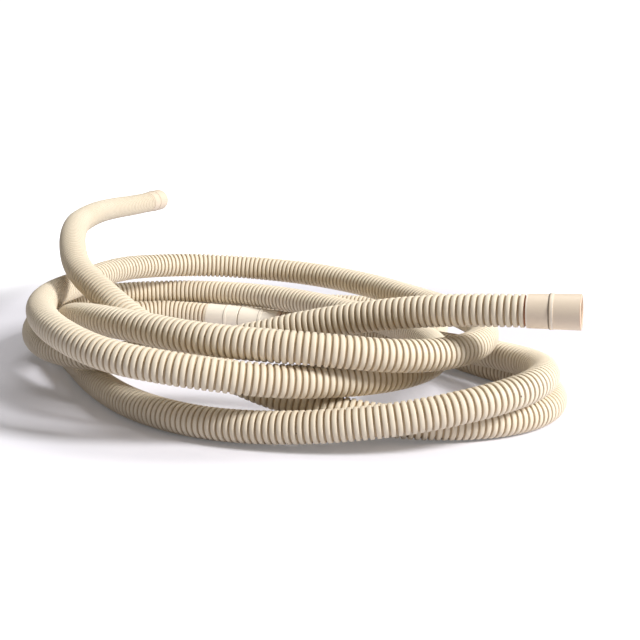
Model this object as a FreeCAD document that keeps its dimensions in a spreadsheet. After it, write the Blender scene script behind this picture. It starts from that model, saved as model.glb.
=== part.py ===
# Corrugated drain hose with moulded cuffs, lying in a loose coil of about five turns.
# Millimetres. X runs to the right, Y away from the near side of the coil, Z up.
# The origin is under the middle of the coil, on the floor that the hose lies on.

import FreeCAD
import Part
import Sketcher
import math
import os

doc = FreeCAD.newDocument("DrainHose")

# Driving dimensions. A hose is sold by its crest diameter and its bore.
SIZES = [
    ("hose_od", 25.0),          # crest diameter
    ("hose_bore", 19.0),        # clear way through the corrugations
    ("neck_od", 20.4),          # last corrugations, held inside a cuff
    ("neck_length", 8.0),
    ("neck_play", 0.1),         # radial, between neck and cuff
    ("spigot_bore", 22.0),      # inside of a cuff, pushed over a drain spigot
    ("stop_length", 2.0),       # lip that the spigot runs up against
    ("grip_length", 16.5),      # plain part of an end cuff beside the hose
    ("grip_od", 25.6),
    ("grip_od_bead", 26.0),
    ("bead_length", 3.0),
    ("bead_od", 27.0),
    ("mouth_length", 20.0),     # plain part beyond the bead, slightly flared
    ("mouth_od_bead", 26.2),
    ("mouth_od", 26.8),
    ("edge_round", 0.7),
    ("lead_in", 0.5),           # slope at the mouth, which starts the spigot
    ("bead_round", 0.25),
    ("middle_grip", 20.5),      # middle cuff, hose to ring line, both ends
    ("middle_short", 12.5),     # ring line to cutting groove, near side
    ("middle_groove", 2.0),     # cutting groove round the middle cuff
    ("middle_long", 21.5),      # cutting groove to ring line, far side
    ("middle_od", 26.4),
    ("groove_od", 25.0),
    ("lead_out", 40.0),         # straight stretch of hose beyond the middle cuff
]

sheet = doc.addObject("Spreadsheet::Sheet", "Sizes")
for row, (alias, value) in enumerate(SIZES, start=1):
    sheet.set("A%d" % row, alias)
    sheet.set("B%d" % row, str(value))
    sheet.setAlias("B%d" % row, alias)
doc.recompute()


def size(expression):
    """A length in millimetres worked out from the sheet."""
    return float(sheet.evalExpression(expression))


# Where the hose lies. The first length runs from the near cuff down into the pile and
# twice round it to the middle cuff, on the floor at the back.
NEAR_ROUTE = [
    (195, -309, 98.5), (157, -296.8, 97), (107, -276, 90.8), (43, -253, 77.5),
    (-22, -240, 60), (-87, -231, 45), (-150, -210, 38.5), (-202, -162, 34),
    (-232, -89, 34.5), (-232, -9, 39.5), (-199, 56, 38.5), (-140, 87, 37.5),
    (-70, 79, 38.5), (-1, 40, 40), (59, -16, 39.5), (106, -81, 40),
    (134, -147, 41), (143, -209, 43), (127, -264, 43.5), (82, -307, 45.5),
    (15, -333, 50), (-57, -338, 60.5), (-118, -321, 67.5), (-165, -276, 76.5),
    (-196, -207, 78.5), (-207, -126, 76.5), (-194, -47, 75.5), (-169, 20, 75.5),
    (-135, 68, 70), (-83, 93, 66.5), (-24, 92, 63), (37, 67, 60.5),
    (92, 19, 58), (138, -46, 55), (171, -121, 56.5), (183, -197, 60),
    (167, -267, 62), (114, -316, 67.5), (37, -331, 77), (-44, -313, 79),
    (-115, -267, 82), (-165, -201, 73.5), (-193, -123, 52.5), (-205, -46, 37.5),
    (-199, 15, 23.5), (-161, 57, 20), (-116, 69, 18.5), (-78, 57, 17),
]

# The second length leaves the middle cuff, runs round the outside of the pile and twice
# along the floor, then climbs over the left side to the far cuff, which stands clear.
FAR_ROUTE = [
    (79, -16, 15), (120, -72, 21.5), (163, -133, 28), (206, -190, 33),
    (225, -247, 37.5), (209, -300, 40), (165, -335, 36.5), (103, -348, 27),
    (30, -343, 17.5), (-40, -321, 13), (-100, -276, 12.5), (-146, -210, 12.5),
    (-179, -134, 12.5), (-213, -59, 12.5), (-229, 11, 12.5), (-211, 70, 13),
    (-158, 112, 13), (-82, 137, 12.5), (2, 142, 12.5), (83, 129, 12.5),
    (142, 96, 15), (168, 44, 15), (160, -14, 13.5), (154, -71, 12.5),
    (180, -121, 12.5), (220, -174, 12.5), (237, -232, 12.5), (216, -285, 12.5),
    (160, -317, 13), (84, -319, 16), (12, -302, 30), (-50, -276, 50.5),
    (-103, -239, 71), (-142, -189, 88), (-175, -132, 99.5), (-194, -67, 112.5),
    (-208.5, 5, 120), (-216, 80, 119), (-214, 155, 118.5), (-206, 223, 115.5),
    (-194, 278, 112.5), (-184, 316, 112),
]

BEND_SHARE = 0.45           # part of the shorter run that a bend may use


def vectors(points):
    return [FreeCAD.Vector(*point) for point in points]


def unit(vector):
    return FreeCAD.Vector(vector).normalize()


def bent_wire(points, label):
    """Straight runs joined by tangent arcs, each as large as its two runs allow."""
    edges = []
    radii = []
    start = points[0]
    for before, corner, after in zip(points, points[1:], points[2:]):
        inward = unit(corner - before)
        outward = unit(after - corner)
        turn = inward.getAngle(outward)
        reach = BEND_SHARE * min((corner - before).Length, (after - corner).Length)
        radius = reach / math.tan(turn / 2)
        radii.append(radius)
        bend_start = corner - inward * reach
        bend_end = corner + outward * reach
        bisector = unit(outward - inward)
        middle = corner + bisector * (radius / math.cos(turn / 2) - radius)
        edges.append(Part.LineSegment(start, bend_start).toShape())
        edges.append(Part.Arc(bend_start, middle, bend_end).toShape())
        start = bend_end
    edges.append(Part.LineSegment(start, points[-1]).toShape())
    wire = Part.Wire(edges)
    print(label, "length %.0f mm, bend radii" % wire.Length, [round(radius) for radius in radii])
    return wire


def facing(position, direction):
    """A placement that turns +Z to the direction."""
    return FreeCAD.Placement(position, FreeCAD.Rotation(FreeCAD.Vector(0, 0, 1), direction))


def ring_body(name, corners, rounded):
    """A body turned from a half section. The corners are (radius, height) in words of the
    sheet; the edges to round are given as (radius, height, fillet size)."""
    body = doc.addObject("PartDesign::Body", name)
    body.Label = name
    planes = [plane for plane in body.Origin.OriginFeatures if plane.Role == "XZ_Plane"]
    sketch = body.newObject("Sketcher::SketchObject", name + "_section")
    sketch.AttachmentSupport = (planes[0], [""])
    sketch.MapMode = "FlatFace"
    flat = [FreeCAD.Vector(size(radius), size(height), 0) for radius, height in corners]
    for here, there in zip(flat, flat[1:] + flat[:1]):
        sketch.addGeometry(Part.LineSegment(here, there), False)

    count = len(flat)
    for index in range(count):
        sketch.addConstraint(Sketcher.Constraint("Coincident", index, 2, (index + 1) % count, 1))
    for index, (radius, height) in enumerate(corners):
        across = sketch.addConstraint(
            Sketcher.Constraint("DistanceX", -1, 1, index, 1, flat[index].x))
        sketch.renameConstraint(across, "radius%d" % index)
        sketch.setExpression("Constraints.radius%d" % index, radius)
        if abs(flat[index].y) > 1e-9:
            up = sketch.addConstraint(
                Sketcher.Constraint("DistanceY", -1, 1, index, 1, flat[index].y))
            sketch.renameConstraint(up, "height%d" % index)
            sketch.setExpression("Constraints.height%d" % index, height)
        else:
            sketch.addConstraint(Sketcher.Constraint("PointOnObject", index, 1, -1))
    turned = body.newObject("PartDesign::Revolution", name + "_turned")
    turned.Profile = sketch
    turned.ReferenceAxis = (sketch, ["V_Axis"])
    turned.Angle = 360
    doc.recompute()
    for radius_rule in sorted({item[2] for item in rounded}):
        base = body.Tip
        wanted = [(size(radius), size(height)) for radius, height, rule in rounded
                  if rule == radius_rule]
        names = []
        for number, edge in enumerate(base.Shape.Edges, start=1):
            if not hasattr(edge.Curve, "Radius"):
                continue
            for radius, height in wanted:
                off = abs(edge.Curve.Radius - radius) + abs(edge.Curve.Center.z - height)
                if off < 1e-4:
                    names.append("Edge%d" % number)
        fillet = body.newObject("PartDesign::Fillet", "%s_%s" % (name, radius_rule.split(".")[-1]))
        fillet.Base = (base, names)
        fillet.setExpression("Radius", radius_rule)
        body.Tip = fillet
        doc.recompute()
    return body


# End cuff: a plain grip beside the hose, a bead to push against and a slightly flared
# mouth. Height 0 is the face that meets the hose.
BEAD_FOOT = "Sizes.grip_length"
BEAD_HEAD = "Sizes.grip_length + Sizes.bead_length"
CUFF_END = "Sizes.grip_length + Sizes.bead_length + Sizes.mouth_length"
NECK_HOLE = "Sizes.neck_od / 2 + Sizes.neck_play"
STOP_FOOT = "Sizes.neck_length"
STOP_HEAD = "Sizes.neck_length + Sizes.stop_length"

END_CUFF = [
    (NECK_HOLE, "0"),
    ("Sizes.grip_od / 2", "0"),
    ("Sizes.grip_od_bead / 2", BEAD_FOOT),
    ("Sizes.bead_od / 2", BEAD_FOOT),
    ("Sizes.bead_od / 2", BEAD_HEAD),
    ("Sizes.mouth_od_bead / 2", BEAD_HEAD),
    ("Sizes.mouth_od / 2", CUFF_END),
    ("Sizes.spigot_bore / 2 + Sizes.lead_in", CUFF_END),
    ("Sizes.spigot_bore / 2", CUFF_END + " - Sizes.lead_in"),
    ("Sizes.spigot_bore / 2", STOP_HEAD),
    ("Sizes.hose_bore / 2", STOP_HEAD),
    ("Sizes.hose_bore / 2", STOP_FOOT),
    (NECK_HOLE, STOP_FOOT),
]
END_CUFF_ROUNDS = [
    ("Sizes.mouth_od / 2", CUFF_END, "Sizes.edge_round"),
    ("Sizes.bead_od / 2", BEAD_FOOT, "Sizes.bead_round"),
    ("Sizes.bead_od / 2", BEAD_HEAD, "Sizes.bead_round"),
]

# Middle cuff: one moulding, two ring lines and a groove where it may be cut to make two
# shorter hoses. Height 0 meets the first length of hose.
RING_A = "Sizes.middle_grip"
RING_A_END = RING_A + " + Sizes.bead_length"
CUT_A = RING_A_END + " + Sizes.middle_short"
CUT_B = CUT_A + " + Sizes.middle_groove"
RING_B = CUT_B + " + Sizes.middle_long"
RING_B_END = RING_B + " + Sizes.bead_length"
MIDDLE_END = RING_B_END + " + Sizes.middle_grip"

MIDDLE_CUFF = [
    (NECK_HOLE, "0"),
    ("Sizes.grip_od / 2", "0"),
    ("Sizes.grip_od_bead / 2", RING_A),
    ("Sizes.bead_od / 2", RING_A),
    ("Sizes.bead_od / 2", RING_A_END),
    ("Sizes.middle_od / 2", RING_A_END),
    ("Sizes.middle_od / 2", CUT_A),
    ("Sizes.groove_od / 2", CUT_A),
    ("Sizes.groove_od / 2", CUT_B),
    ("Sizes.middle_od / 2", CUT_B),
    ("Sizes.middle_od / 2", RING_B),
    ("Sizes.bead_od / 2", RING_B),
    ("Sizes.bead_od / 2", RING_B_END),
    ("Sizes.grip_od_bead / 2", RING_B_END),
    ("Sizes.grip_od / 2", MIDDLE_END),
    (NECK_HOLE, MIDDLE_END),
    (NECK_HOLE, MIDDLE_END + " - Sizes.neck_length"),
    ("Sizes.hose_bore / 2", MIDDLE_END + " - Sizes.neck_length"),
    ("Sizes.hose_bore / 2", STOP_FOOT),
    (NECK_HOLE, STOP_FOOT),
]
MIDDLE_CUFF_ROUNDS = [
    ("Sizes.bead_od / 2", RING_A, "Sizes.bead_round"),
    ("Sizes.bead_od / 2", RING_A_END, "Sizes.bead_round"),
    ("Sizes.bead_od / 2", RING_B, "Sizes.bead_round"),
    ("Sizes.bead_od / 2", RING_B_END, "Sizes.bead_round"),
]

near_points = vectors(NEAR_ROUTE)
near_out = unit(near_points[0] - near_points[1])
middle_way = unit(near_points[-1] - near_points[-2])
middle_start = near_points[-1]
middle_end = middle_start + middle_way * size(MIDDLE_END)
far_points = [middle_end, middle_end + middle_way * size("Sizes.lead_out")] + vectors(FAR_ROUTE)
far_out = unit(far_points[-1] - far_points[-2])

near_cuff = ring_body("near_cuff", END_CUFF, END_CUFF_ROUNDS)
near_cuff.Placement = facing(near_points[0], near_out)
middle_cuff = ring_body("middle_cuff", MIDDLE_CUFF, MIDDLE_CUFF_ROUNDS)
middle_cuff.Placement = facing(middle_start, middle_way)
far_cuff = ring_body("far_cuff", END_CUFF, END_CUFF_ROUNDS)
far_cuff.Placement = facing(far_points[-1], far_out)


def swept(name, spine, start, diameter):
    """A round bar along the spine, its diameter taken from the sheet."""
    circle = doc.addObject("Part::Circle", name + "_circle")
    circle.setExpression("Radius", diameter + " / 2")
    circle.Placement = start
    bar = doc.addObject("Part::Sweep", name)
    bar.Sections = [circle]
    bar.Spine = (spine, ["Edge%d" % number for number in range(1, len(spine.Shape.Edges) + 1)])
    bar.Solid = True
    bar.Frenet = False
    return bar


def stub(name, place, diameter, length):
    """A short round bar that stands out of the end of a hose."""
    bar = doc.addObject("Part::Cylinder", name)
    bar.setExpression("Radius", diameter + " / 2")
    bar.setExpression("Height", length)
    bar.Placement = place
    return bar


def hose(name, points):
    """One length of hose: a tube along its route, with a neck at each end for the cuffs."""
    spine = doc.addObject("Part::Feature", name + "_route")
    spine.Shape = bent_wire(points, name)
    first = facing(points[0], unit(points[0] - points[1]))
    last = facing(points[-1], unit(points[-1] - points[-2]))
    along = facing(points[0], unit(points[1] - points[0]))
    outside = doc.addObject("Part::MultiFuse", name + "_outside")
    outside.Shapes = [
        swept(name + "_wall", spine, along, "Sizes.hose_od"),
        stub(name + "_neck_first", first, "Sizes.neck_od", "Sizes.neck_length"),
        stub(name + "_neck_last", last, "Sizes.neck_od", "Sizes.neck_length"),
    ]
    inside = doc.addObject("Part::MultiFuse", name + "_inside")
    inside.Shapes = [
        swept(name + "_way", spine, along, "Sizes.hose_bore"),
        stub(name + "_way_first", first, "Sizes.hose_bore", "Sizes.neck_length"),
        stub(name + "_way_last", last, "Sizes.hose_bore", "Sizes.neck_length"),
    ]
    tube = doc.addObject("Part::Cut", name)
    tube.Label = name
    tube.Base = outside
    tube.Tool = inside
    return tube, spine


near_hose, near_spine = hose("near_hose", near_points)
far_hose, far_spine = hose("far_hose", far_points)
doc.recompute()

# Nothing is written before every object is sound.
for item in doc.Objects:
    if "Invalid" in item.State or "Error" in item.State:
        raise RuntimeError("%s failed: %s" % (item.Name, item.State))

NODES = [near_cuff, near_hose, middle_cuff, far_hose, far_cuff]
for node in NODES:
    if node.Shape.isNull() or not node.Shape.isValid():
        raise RuntimeError("%s has no sound shape" % node.Label)

# The volume of each length of hose is its section times its length.
ring = math.pi / 4 * (size("Sizes.hose_od") ** 2 - size("Sizes.hose_bore") ** 2)
neck = math.pi / 4 * (size("Sizes.neck_od") ** 2 - size("Sizes.hose_bore") ** 2)
for tube, spine in ((near_hose, near_spine), (far_hose, far_spine)):
    expected = ring * spine.Shape.Length + 2 * neck * size("Sizes.neck_length")
    print(tube.Label, "volume %.0f mm3, section times length %.0f mm3" % (tube.Shape.Volume, expected))
    if abs(tube.Shape.Volume / expected - 1) > 0.002:
        raise RuntimeError("%s does not follow its route" % tube.Label)

whole = near_spine.Shape.Length + far_spine.Shape.Length + 2 * size(CUFF_END) + size(MIDDLE_END)
print("hose with its cuffs, end to end: %.0f mm" % whole)

os.makedirs("parts", exist_ok=True)
for node in NODES:
    node.Shape.exportStep(os.path.join("parts", node.Label + ".step"))
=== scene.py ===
import math

import bpy
import numpy as np
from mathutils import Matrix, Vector


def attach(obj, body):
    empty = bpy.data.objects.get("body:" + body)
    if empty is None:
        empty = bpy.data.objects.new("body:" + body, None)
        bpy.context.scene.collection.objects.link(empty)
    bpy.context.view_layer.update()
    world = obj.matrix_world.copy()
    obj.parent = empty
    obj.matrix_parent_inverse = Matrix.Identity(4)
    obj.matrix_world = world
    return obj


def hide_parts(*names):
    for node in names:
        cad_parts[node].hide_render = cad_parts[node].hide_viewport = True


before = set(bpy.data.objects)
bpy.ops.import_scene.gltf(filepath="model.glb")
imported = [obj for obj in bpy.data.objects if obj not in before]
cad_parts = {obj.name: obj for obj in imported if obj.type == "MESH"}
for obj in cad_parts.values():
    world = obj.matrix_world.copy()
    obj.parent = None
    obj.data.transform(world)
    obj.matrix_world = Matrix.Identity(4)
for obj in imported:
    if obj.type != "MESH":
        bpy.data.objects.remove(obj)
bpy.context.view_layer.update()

# Sizes of the hose, in metres
HOSE_DIAMETER = 0.025
RIB_PITCH = 0.005
GROOVE_DEPTH = 0.0015
MIDDLE_CUFF_LENGTH = 0.083
LEAD_OUT = 0.040                # straight stretch beyond the middle cuff
GLUE_PITCHES = 1.25             # how far from a cuff the glue shows, in rib pitches

# How finely the hose is made
SIDES = 32                      # facets round the hose
LINE_STEPS = 24                 # steps of its line from one route point to the next
DRAWN_OUT = 0.01                # how far its line runs on inside the cuffs
AIM_REACH = 0.0015              # a ring faces along the line this far either side of it
SHARP_ANGLE = math.radians(38)  # edges that turn more than this stay sharp

# One rib, along the hose: (share of the pitch, depth as a share of the groove's)
RIB_PROFILE = [
    (0.00, 1.00),
    (0.25, 1.00),
    (0.28, 0.52),
    (0.33, 0.13),
    (0.40, 0.01),
    (0.62, -0.02),
    (0.84, 0.01),
    (0.91, 0.13),
    (0.96, 0.52),
]

# Where the hose lies: the routes of the solids, with some points moved by up to 4 mm to
# follow the photograph. The first length leaves the near cuff, sinks into the pile and goes
# twice round it to the middle cuff at the back.
NEAR_ROUTE = [
    (0.195, -0.309, 0.0985), (0.157, -0.2968, 0.097), (0.107, -0.276, 0.0908),
    (0.043, -0.253, 0.0775), (-0.022, -0.24, 0.06), (-0.087, -0.231, 0.045),
    (-0.15, -0.21, 0.0385), (-0.202, -0.162, 0.034), (-0.232, -0.089, 0.0345),
    (-0.232, -0.009, 0.0395), (-0.199, 0.056, 0.0385), (-0.14, 0.087, 0.0375),
    (-0.07, 0.079, 0.0385), (-0.001, 0.04, 0.04), (0.059, -0.016, 0.0395),
    (0.106, -0.081, 0.04), (0.134, -0.147, 0.041), (0.143, -0.209, 0.043),
    (0.127, -0.264, 0.0435), (0.082, -0.307, 0.0455), (0.015, -0.333, 0.05),
    (-0.057, -0.338, 0.0605), (-0.118, -0.321, 0.0675), (-0.165, -0.276, 0.0765),
    (-0.1935, -0.207, 0.078), (-0.205, -0.126, 0.0747), (-0.193, -0.047, 0.072),
    (-0.169, 0.02, 0.0745), (-0.135, 0.068, 0.07), (-0.083, 0.093, 0.0665),
    (-0.024, 0.092, 0.063), (0.037, 0.067, 0.0605), (0.092, 0.019, 0.058),
    (0.138, -0.046, 0.055), (0.171, -0.121, 0.0565), (0.183, -0.197, 0.06),
    (0.167, -0.267, 0.0605), (0.114, -0.316, 0.064), (0.037, -0.331, 0.075),
    (-0.044, -0.313, 0.0772), (-0.115, -0.267, 0.08), (-0.165, -0.201, 0.0717),
    (-0.191, -0.123, 0.0501), (-0.205, -0.046, 0.0375), (-0.199, 0.015, 0.0235),
    (-0.161, 0.057, 0.02), (-0.116, 0.069, 0.0185), (-0.078, 0.057, 0.017),
]

# The second length runs along the floor, twice round, and climbs over the left side.
FAR_ROUTE = [
    (0.079, -0.016, 0.015), (0.12, -0.072, 0.0215), (0.163, -0.133, 0.028),
    (0.206, -0.19, 0.033), (0.225, -0.247, 0.0375), (0.209, -0.3, 0.04),
    (0.165, -0.335, 0.0365), (0.103, -0.347, 0.027), (0.03, -0.34, 0.0175),
    (-0.04, -0.318, 0.013), (-0.1, -0.273, 0.0125), (-0.145, -0.208, 0.0125),
    (-0.179, -0.134, 0.0125), (-0.2145, -0.059, 0.0125), (-0.2305, 0.011, 0.0125),
    (-0.211, 0.07, 0.013), (-0.158, 0.112, 0.013), (-0.082, 0.137, 0.0125),
    (0.002, 0.142, 0.0125), (0.083, 0.129, 0.0125), (0.142, 0.096, 0.015),
    (0.168, 0.044, 0.015), (0.16, -0.014, 0.0135), (0.154, -0.071, 0.0125),
    (0.18, -0.121, 0.0125), (0.22, -0.174, 0.0125), (0.237, -0.232, 0.0125),
    (0.216, -0.285, 0.0125), (0.16, -0.317, 0.013), (0.084, -0.319, 0.016),
    (0.012, -0.302, 0.03), (-0.05, -0.276, 0.0505), (-0.103, -0.239, 0.071),
    (-0.142, -0.189, 0.088), (-0.1765, -0.132, 0.0995), (-0.1955, -0.067, 0.1125),
    (-0.2085, 0.005, 0.12), (-0.216, 0.08, 0.119), (-0.214, 0.155, 0.1185),
    (-0.206, 0.223, 0.1155), (-0.194, 0.278, 0.1125), (-0.184, 0.316, 0.112),
]


# Camera, at the photograph's low three-quarter height
CAMERA_HEIGHT = 0.2611
CAMERA_BACK = 1.0836
CAMERA_RIGHT = 0.042
CAMERA_DOWN = math.radians(12.34)
LENS = 60.3

camera_data = bpy.data.cameras.new("camera")
camera_data.lens = LENS
camera_data.sensor_width = 36.0
camera = bpy.data.objects.new("camera", camera_data)
camera.location = (CAMERA_RIGHT, -CAMERA_BACK, CAMERA_HEIGHT)
camera.rotation_euler = (math.radians(90) - CAMERA_DOWN, 0, 0)
bpy.context.collection.objects.link(camera)
bpy.context.scene.camera = camera


# The hose: a smooth line through its route, then ribs along that line

def route_line(name, points):
    """A smooth spline with the route's points as its control points."""
    curve = bpy.data.curves.new(name, "CURVE")
    curve.dimensions = "3D"
    curve.resolution_u = LINE_STEPS
    spline = curve.splines.new("NURBS")
    spline.points.add(len(points) - 1)
    for control, point in zip(spline.points, points):
        control.co = (*point, 1.0)
    spline.order_u = 3
    spline.use_endpoint_u = True
    line = bpy.data.objects.new(name, curve)
    bpy.context.collection.objects.link(line)
    bpy.context.view_layer.update()
    mesh = bpy.data.meshes.new_from_object(line)
    followed = np.array([vertex.co[:] for vertex in mesh.vertices])
    bpy.data.meshes.remove(mesh)
    bpy.data.objects.remove(line)
    bpy.data.curves.remove(curve)
    return followed


def distances(line):
    """Distance along the line at each of its points."""
    steps = np.linalg.norm(np.diff(line, axis=0), axis=1)
    return np.concatenate([[0.0], np.cumsum(steps)])


def place_on(line, along, wanted):
    """Points on the line at the wanted distances along it."""
    return np.stack([np.interp(wanted, along, line[:, axis]) for axis in range(3)], axis=1)


def drawn_out(end, inner):
    """The point a little past an end of the line."""
    way = end - inner
    return end + way / np.linalg.norm(way) * DRAWN_OUT


def sideways(line, along, wanted):
    """Two directions across the line at each place, carried along without twist."""
    ahead = (place_on(line, along, wanted + AIM_REACH)
             - place_on(line, along, wanted - AIM_REACH))
    ahead /= np.linalg.norm(ahead, axis=1)[:, None]
    across = np.zeros_like(ahead)
    first = np.cross(ahead[0], (0.0, 0.0, 1.0))
    across[0] = first / np.linalg.norm(first)
    for index in range(1, len(ahead)):
        carried = across[index - 1] - ahead[index] * np.dot(across[index - 1], ahead[index])
        across[index] = carried / np.linalg.norm(carried)
    return across, np.cross(ahead, across)


def ring_values(mesh, name, values):
    """Store one value for each ring of the hose on all the ring's vertices."""
    attribute = mesh.attributes.new(name, "FLOAT", "POINT")
    attribute.data.foreach_set("value", np.repeat(values, SIDES).astype(np.float32))


def ribbed_hose(name, line, along, first_rib, last_rib, pitch, length):
    """A stretch of hose from one rib to another, as a mesh."""
    shares = np.array([share for share, depth in RIB_PROFILE])
    depths = [depth for share, depth in RIB_PROFILE]
    ribs = np.arange(first_rib, last_rib)
    place = (ribs[:, None] + shares[None, :]).ravel() * pitch
    place = np.append(place, last_rib * pitch)
    depth = np.append(np.tile(depths, len(ribs)), depths[0])

    # rings of vertices, one at each place
    centre = place_on(line, along, place)
    right, up = sideways(line, along, place)
    radius = HOSE_DIAMETER / 2 - GROOVE_DEPTH * depth
    angle = np.linspace(0, 2 * math.pi, SIDES, endpoint=False)
    spoke = (np.cos(angle)[None, :, None] * right[:, None, :]
             + np.sin(angle)[None, :, None] * up[:, None, :])
    vertices = centre[:, None, :] + spoke * radius[:, None, None]

    # faces between each ring and the next
    ring, side = np.meshgrid(np.arange(len(place) - 1), np.arange(SIDES), indexing="ij")
    after = (side + 1) % SIDES
    faces = np.stack([ring * SIDES + side, ring * SIDES + after,
                      (ring + 1) * SIDES + after, (ring + 1) * SIDES + side], axis=-1)
    mesh = bpy.data.meshes.new(name)
    mesh.from_pydata(vertices.reshape(-1, 3).tolist(), [], faces.reshape(-1, 4).tolist())
    mesh.polygons.foreach_set("use_smooth", [True] * len(mesh.polygons))

    # how deep each ring lies in a groove, which sets the painted shade there, and how much glue
    # shows there
    from_cuff = np.minimum(place, length - place)
    ring_values(mesh, "groove", depth)
    ring_values(mesh, "glue", depth * np.clip(GLUE_PITCHES - from_cuff / pitch, 0, 1))

    # texture coordinates: round the hose, and along it in metres
    wraps = mesh.uv_layers.new(name="wrap")
    across_uv = (side[..., None] + np.array([0, 1, 1, 0])) / SIDES
    along_uv = place[ring[..., None] + np.array([0, 0, 1, 1])]
    wrap = np.stack([across_uv, along_uv], axis=-1).ravel()
    wraps.data.foreach_set("uv", wrap.astype(np.float32))

    mesh.set_sharp_from_angle(angle=SHARP_ANGLE)
    mesh.update()
    piece = bpy.data.objects.new(name, mesh)
    bpy.context.collection.objects.link(piece)
    return piece


def hose(names, points, node):
    """One length of hose in two stretches, made one after the other."""
    line = route_line(node + "_line", points)
    along = distances(line)
    length = along[-1]
    count = round(length / RIB_PITCH)
    pitch = length / count
    half = count // 2
    # the line is drawn out a little past its ends, so that the last rings face the cuffs
    drawn = np.vstack([drawn_out(line[0], line[1]), line, drawn_out(line[-1], line[-2])])
    drawn_along = np.concatenate([[-DRAWN_OUT], along, [length + DRAWN_OUT]])
    pieces = []
    for name, start, stop in ((names[0], 0, half), (names[1], half, count)):
        piece = ribbed_hose(name, drawn, drawn_along, start, stop, pitch, length)
        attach(piece, "root")
        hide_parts(node)
        pieces.append(piece)
    return pieces


# the middle cuff lies straight between the two lengths
middle_start = Vector(NEAR_ROUTE[-1])
middle_way = (middle_start - Vector(NEAR_ROUTE[-2])).normalized()
middle_end = middle_start + middle_way * MIDDLE_CUFF_LENGTH
far_route = [tuple(middle_end), tuple(middle_end + middle_way * LEAD_OUT)] + FAR_ROUTE

hose_pieces = hose(("near_hose_top", "near_hose_back"), NEAR_ROUTE, "near_hose")
hose_pieces += hose(("far_hose_floor", "far_hose_tail"), far_route, "far_hose")


# Small helpers for node trees. Each takes sockets, or plain values where a value is fixed.

def feed(tree, socket, source):
    """Link a socket to another one, or set it to a plain value."""
    if isinstance(source, bpy.types.NodeSocket):
        tree.links.new(source, socket)
    else:
        socket.default_value = source


def noise(tree, vector, scale, detail):
    """Noise over a vector."""
    node = tree.nodes.new("ShaderNodeTexNoise")
    node.inputs["Scale"].default_value = scale
    node.inputs["Detail"].default_value = detail
    feed(tree, node.inputs["Vector"], vector)
    return node.outputs["Fac"]


def carried_over(tree, value, taken, given, interpolation="LINEAR"):
    """A value carried over from the range `taken` to the range `given`."""
    node = tree.nodes.new("ShaderNodeMapRange")
    node.interpolation_type = interpolation
    feed(tree, node.inputs["Value"], value)
    for label, end in zip(("From Min", "From Max", "To Min", "To Max"), (*taken, *given)):
        node.inputs[label].default_value = end
    return node.outputs["Result"]


def worked_out(tree, operation, *values):
    """The result of one operation on one or two numbers."""
    node = tree.nodes.new("ShaderNodeMath")
    node.operation = operation
    for socket, value in zip(node.inputs, values):
        feed(tree, socket, value)
    return node.outputs["Value"]


def worked_out_vector(tree, operation, output, *vectors):
    """The named output of one operation on one or two vectors."""
    node = tree.nodes.new("ShaderNodeVectorMath")
    node.operation = operation
    for socket, vector in zip(node.inputs, vectors):
        feed(tree, socket, vector)
    return node.outputs[output]


def painted_over(tree, factor, under, over):
    """The colour `under` with the colour `over` laid on it as far as the factor says."""
    node = tree.nodes.new("ShaderNodeMix")
    node.data_type = "RGBA"
    feed(tree, node.inputs["Factor"], factor)
    feed(tree, node.inputs["A"], under)
    feed(tree, node.inputs["B"], over)
    return node.outputs["Result"]


def mesh_value(tree, name):
    """A value that is stored on the mesh."""
    node = tree.nodes.new("ShaderNodeAttribute")
    node.attribute_name = name
    return node.outputs["Fac"]


def object_place(tree):
    """Where a point of the object is, in metres."""
    return tree.nodes.new("ShaderNodeTexCoord").outputs["Object"]


# Materials. The colours are linear.
HOSE_TONE = (0.80, 0.71, 0.56)
HOSE_SHADE = (0.75, 0.64, 0.48)
# painted shade for the bottom of the grooves
PAINTED_GROOVE_SHADE = (0.42, 0.30, 0.17, 1)
GLUE_BROWN = (0.42, 0.17, 0.08, 1)
DIRT = (0.09, 0.06, 0.04, 1)
GROOVE_SHADE_COVER = 0.86             # how much painted shade covers the bottom of a groove
DIRT_COVER = 0.85
UNEVENNESS = 0.5                # how far the tone may drift towards its shade
GRAIN_HEIGHT = 0.0002           # metres
CUFF_SHADE_SHARE = 0.9          # a cuff's shade, as a share of its tone
SPECK_CORE = 0.5                # share of a speck's size that is fully dirty
LINE_CORE = 0.5                 # a line is full up to this share of its half width
LINE_END = 1.3                  # and gone at this share


def grain_group():
    """Tone and fine unevenness that every moulded piece shares."""
    tree = bpy.data.node_groups.new("Moulded ivory", "ShaderNodeTree")
    for label, kind in (("Tone", "NodeSocketColor"), ("Shade", "NodeSocketColor"),
                        ("Roughness", "NodeSocketFloat")):
        tree.interface.new_socket(label, in_out="INPUT", socket_type=kind)
    for label, kind in (("Color", "NodeSocketColor"), ("Roughness", "NodeSocketFloat"),
                        ("Height", "NodeSocketFloat")):
        tree.interface.new_socket(label, in_out="OUTPUT", socket_type=kind)
    given = tree.nodes.new("NodeGroupInput").outputs
    result = tree.nodes.new("NodeGroupOutput").inputs
    place = object_place(tree)

    # slow drifts of tone
    drift = noise(tree, place, scale=9.0, detail=3.0)
    drift = carried_over(tree, drift, (0.38, 0.72), (0.0, 1.0))
    uneven = worked_out(tree, "MULTIPLY", drift, UNEVENNESS)
    feed(tree, result["Color"], painted_over(tree, uneven, given["Tone"], given["Shade"]))

    # a fine mottle in the gloss and the relief
    mottle = noise(tree, place, scale=420.0, detail=4.0)
    rough = carried_over(tree, mottle, (0.3, 0.7), (-0.06, 0.08))
    feed(tree, result["Roughness"], worked_out(tree, "ADD", rough, given["Roughness"]))
    feed(tree, result["Height"], mottle)
    return tree


ivory_grain = grain_group()


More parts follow.
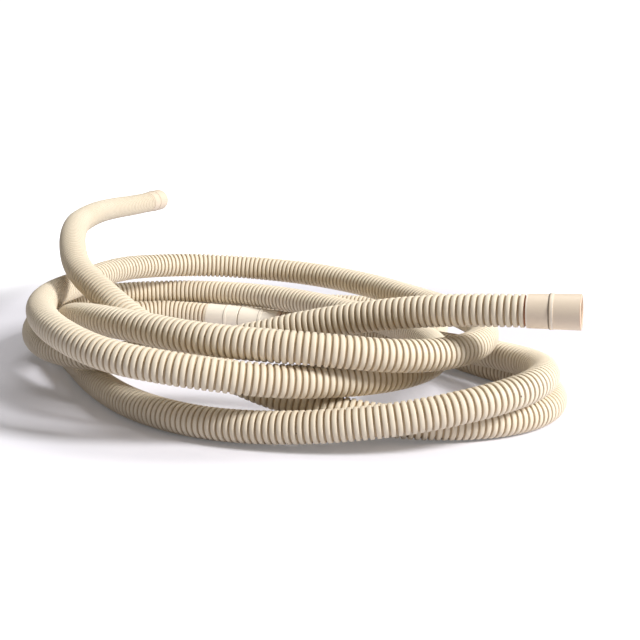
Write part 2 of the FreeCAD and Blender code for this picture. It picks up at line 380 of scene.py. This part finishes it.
def plastic(name, tone, shade, roughness, bump):
    """A moulded plastic with the shared grain: the material, its shader and its colour."""
    material = bpy.data.materials.new(name)
    material.use_nodes = True
    tree = material.node_tree
    shader = tree.nodes["Principled BSDF"]
    grain = tree.nodes.new("ShaderNodeGroup")
    grain.node_tree = ivory_grain
    grain.inputs["Tone"].default_value = (*tone, 1)
    grain.inputs["Shade"].default_value = (*shade, 1)
    grain.inputs["Roughness"].default_value = roughness
    relief = tree.nodes.new("ShaderNodeBump")
    relief.inputs["Strength"].default_value = bump
    relief.inputs["Distance"].default_value = GRAIN_HEIGHT
    feed(tree, relief.inputs["Height"], grain.outputs["Height"])
    feed(tree, shader.inputs["Normal"], relief.outputs["Normal"])
    feed(tree, shader.inputs["Roughness"], grain.outputs["Roughness"])
    shader.inputs["IOR"].default_value = 1.49
    shader.inputs["Specular IOR Level"].default_value = 0.35
    return material, shader, grain.outputs["Color"]


# Where the specks of dirt sit in the grooves, and how large they are
DIRT_SPECKS = [
    ((0.1890, -0.3313, 0.0394), 0.0009),
    ((-0.0425, -0.3201, 0.0817), 0.0008),
    ((-0.0423, -0.3231, 0.0764), 0.0008),
    ((0.0251, -0.3482, 0.0167), 0.0008),
]


def hose_material():
    """Ivory plastic with painted shade in the grooves, a little glue and dirt."""
    material, shader, colour = plastic("ribbed ivory hose", HOSE_TONE, HOSE_SHADE,
                                       roughness=0.50, bump=0.25)
    tree = material.node_tree
    # painted shade: each ring is darkened by how deep it lies in its groove
    depth = worked_out(tree, "POWER", mesh_value(tree, "groove"), 2.0)
    depth = worked_out(tree, "MULTIPLY", depth, GROOVE_SHADE_COVER)
    colour = painted_over(tree, depth, colour, PAINTED_GROOVE_SHADE)

    # the glue that holds the cuffs tints the last groove reddish brown
    colour = painted_over(tree, mesh_value(tree, "glue"), colour, GLUE_BROWN)

    # a few specks of dirt caught in the grooves
    here = object_place(tree)
    for place, size in DIRT_SPECKS:
        away = worked_out_vector(tree, "DISTANCE", "Value", here, place)
        spot = carried_over(tree, away, (size * SPECK_CORE, size), (DIRT_COVER, 0.0))
        colour = painted_over(tree, spot, colour, DIRT)
    feed(tree, shader.inputs["Base Color"], colour)
    return material


def cuff_material(name, tone, foot, way, lines):
    """Smooth plastic with thin lines round the cuff, some of them painted shade and painted
    highlights: (height, half width, colour, strength).
    """
    shade = tuple(part * CUFF_SHADE_SHARE for part in tone)
    material, shader, colour = plastic(name, tone, shade, roughness=0.42, bump=0.15)
    tree = material.node_tree
    from_foot = worked_out_vector(tree, "SUBTRACT", "Vector", object_place(tree), foot)
    height = worked_out_vector(tree, "DOT_PRODUCT", "Value", from_foot, way)
    # each line is painted shade, a painted highlight or a pink rim
    for place, half_width, line_colour, strength in lines:
        away = worked_out(tree, "SUBTRACT", height, place)
        distance = worked_out(tree, "ABSOLUTE", away)
        band = carried_over(tree, distance, (half_width * LINE_CORE, half_width * LINE_END),
                            (strength, 0.0), "SMOOTHSTEP")
        colour = painted_over(tree, band, colour, (*line_colour, 1))
    feed(tree, shader.inputs["Base Color"], colour)
    return material


# Tones of the cuffs and the thin lines round them: painted shade in the ring grooves, painted
# highlights beside them and at the edge, and pink rims
WARM_TONE = (0.82, 0.69, 0.54)
# the middle cuff's paler tone, raised further as painted light to make up for the shade it sits
# in
PALE_AND_PAINTED_LIGHT_TONE = (0.96, 0.88, 0.75)
# painted shade along the cuffs' ring grooves and steps
PAINTED_RING_SHADE = (0.20, 0.15, 0.10)
# painted highlight beside a ring groove and at the hose's edge
PAINTED_EDGE_HIGHLIGHT = (0.92, 0.84, 0.72)
RIM_PINK = (0.74, 0.50, 0.36)
END_CUFF_LINES = [
    (0.0005, 0.0008, PAINTED_EDGE_HIGHLIGHT, 0.7),
    (0.0166, 0.0007, PAINTED_RING_SHADE, 0.85),
    (0.0188, 0.0006, PAINTED_EDGE_HIGHLIGHT, 0.8),
    (0.0392, 0.0006, RIM_PINK, 0.7),
]
FAR_CUFF_LINES = [
    (0.0166, 0.0007, PAINTED_RING_SHADE, 0.25),
    (0.0392, 0.0006, RIM_PINK, 0.5),
]
MIDDLE_CUFF_LINES = [
    (0.0205, 0.0006, PAINTED_RING_SHADE, 0.45),
    (0.0370, 0.0008, PAINTED_RING_SHADE, 0.70),
    (0.0595, 0.0006, PAINTED_RING_SHADE, 0.45),
    (0.0815, 0.0020, RIM_PINK, 0.5),
]

hose_plastic = hose_material()
for piece in hose_pieces:
    piece.data.materials.append(hose_plastic)
near_foot = Vector(NEAR_ROUTE[0])
far_foot = Vector(FAR_ROUTE[-1])
for name, tone, foot, way, lines in (
        ("near_cuff", WARM_TONE, near_foot, near_foot - Vector(NEAR_ROUTE[1]), END_CUFF_LINES),
        ("middle_cuff", PALE_AND_PAINTED_LIGHT_TONE, middle_start, middle_way, MIDDLE_CUFF_LINES),
        ("far_cuff", WARM_TONE, far_foot, far_foot - Vector(FAR_ROUTE[-2]), FAR_CUFF_LINES)):
    cuff_plastic = cuff_material("smooth ivory " + name, tone, foot, way.normalized(), lines)
    for slot in bpy.data.objects[name].material_slots:
        slot.material = cuff_plastic


# Floor: a white table that glows more and more away from the hose, as a lit sweep does
FLOOR_SIZE = 9
FLOOR_TONE = (0.75, 0.735, 0.79, 1)
GLOW_DISTANCES = (0.36, 0.75)   # metres from the middle of the coil
GLOW_STRENGTHS = (0.09, 1.0)
GLOW_STRETCH = (1.0, 1.25, 1.0)  # it starts a quarter sooner towards the front and back
PLAIN_WHITE = (1.0, 1.0, 1.0, 1)

bpy.ops.mesh.primitive_plane_add(size=FLOOR_SIZE, location=(0, 0, 0))
floor = bpy.context.active_object
floor.name = "floor"
floor_paint = bpy.data.materials.new("white floor")
floor_paint.use_nodes = True
floor_tree = floor_paint.node_tree
floor_shader = floor_tree.nodes["Principled BSDF"]
floor_shader.inputs["Base Color"].default_value = FLOOR_TONE
floor_shader.inputs["Roughness"].default_value = 0.6
floor_shader.inputs["Specular IOR Level"].default_value = 0.2
stretched = worked_out_vector(floor_tree, "MULTIPLY", "Vector", object_place(floor_tree),
                              GLOW_STRETCH)
from_middle = worked_out_vector(floor_tree, "LENGTH", "Value", stretched)
glow = carried_over(floor_tree, from_middle, GLOW_DISTANCES, GLOW_STRENGTHS, "SMOOTHSTEP")
# only the camera sees the glow, so it lights nothing
floor_seen = floor_tree.nodes.new("ShaderNodeLightPath").outputs["Is Camera Ray"]
floor_shader.inputs["Emission Color"].default_value = PLAIN_WHITE
feed(floor_tree, floor_shader.inputs["Emission Strength"],
     worked_out(floor_tree, "MULTIPLY", glow, floor_seen))
floor.data.materials.append(floor_paint)

# World: a dim warm room for the light, a white backdrop for the camera
ROOM_TONE = (1.0, 0.95, 0.89, 1)
ROOM_STRENGTH = 0.18
BACKDROP_STRENGTH = 1.1

world = bpy.data.worlds.new("studio")
world.use_nodes = True
world_tree = world.node_tree
backdrop = world_tree.nodes["Background"]
backdrop.inputs["Color"].default_value = PLAIN_WHITE
backdrop.inputs["Strength"].default_value = BACKDROP_STRENGTH
room = world_tree.nodes.new("ShaderNodeBackground")
room.inputs["Color"].default_value = ROOM_TONE
room.inputs["Strength"].default_value = ROOM_STRENGTH
seen = world_tree.nodes.new("ShaderNodeLightPath").outputs["Is Camera Ray"]
either = world_tree.nodes.new("ShaderNodeMixShader")
feed(world_tree, either.inputs["Fac"], seen)
feed(world_tree, either.inputs[1], room.outputs["Background"])
feed(world_tree, either.inputs[2], backdrop.outputs["Background"])
feed(world_tree, world_tree.nodes["World Output"].inputs["Surface"], either.outputs["Shader"])
bpy.context.scene.world = world


# Light: a far key light from the front right, and a weak one over the back

def soft_box(name, place, width, height, power):
    """A large soft light that looks at the middle of the coil."""
    data = bpy.data.lights.new(name, "AREA")
    data.shape = "RECTANGLE"
    data.size = width
    data.size_y = height
    data.energy = power
    light = bpy.data.objects.new(name, data)
    light.location = place
    light.rotation_euler = (-Vector(place)).to_track_quat("-Z", "Y").to_euler()
    bpy.context.collection.objects.link(light)


soft_box("right_box", (2.65, -1.42, 2.15), width=0.85, height=0.85, power=163)
soft_box("top_back_box", (0.1, 0.35, 1.8), width=1.2, height=0.9, power=12)
# plain colours: the default transform turns the ivory grey
bpy.context.scene.view_settings.view_transform = "Standard"
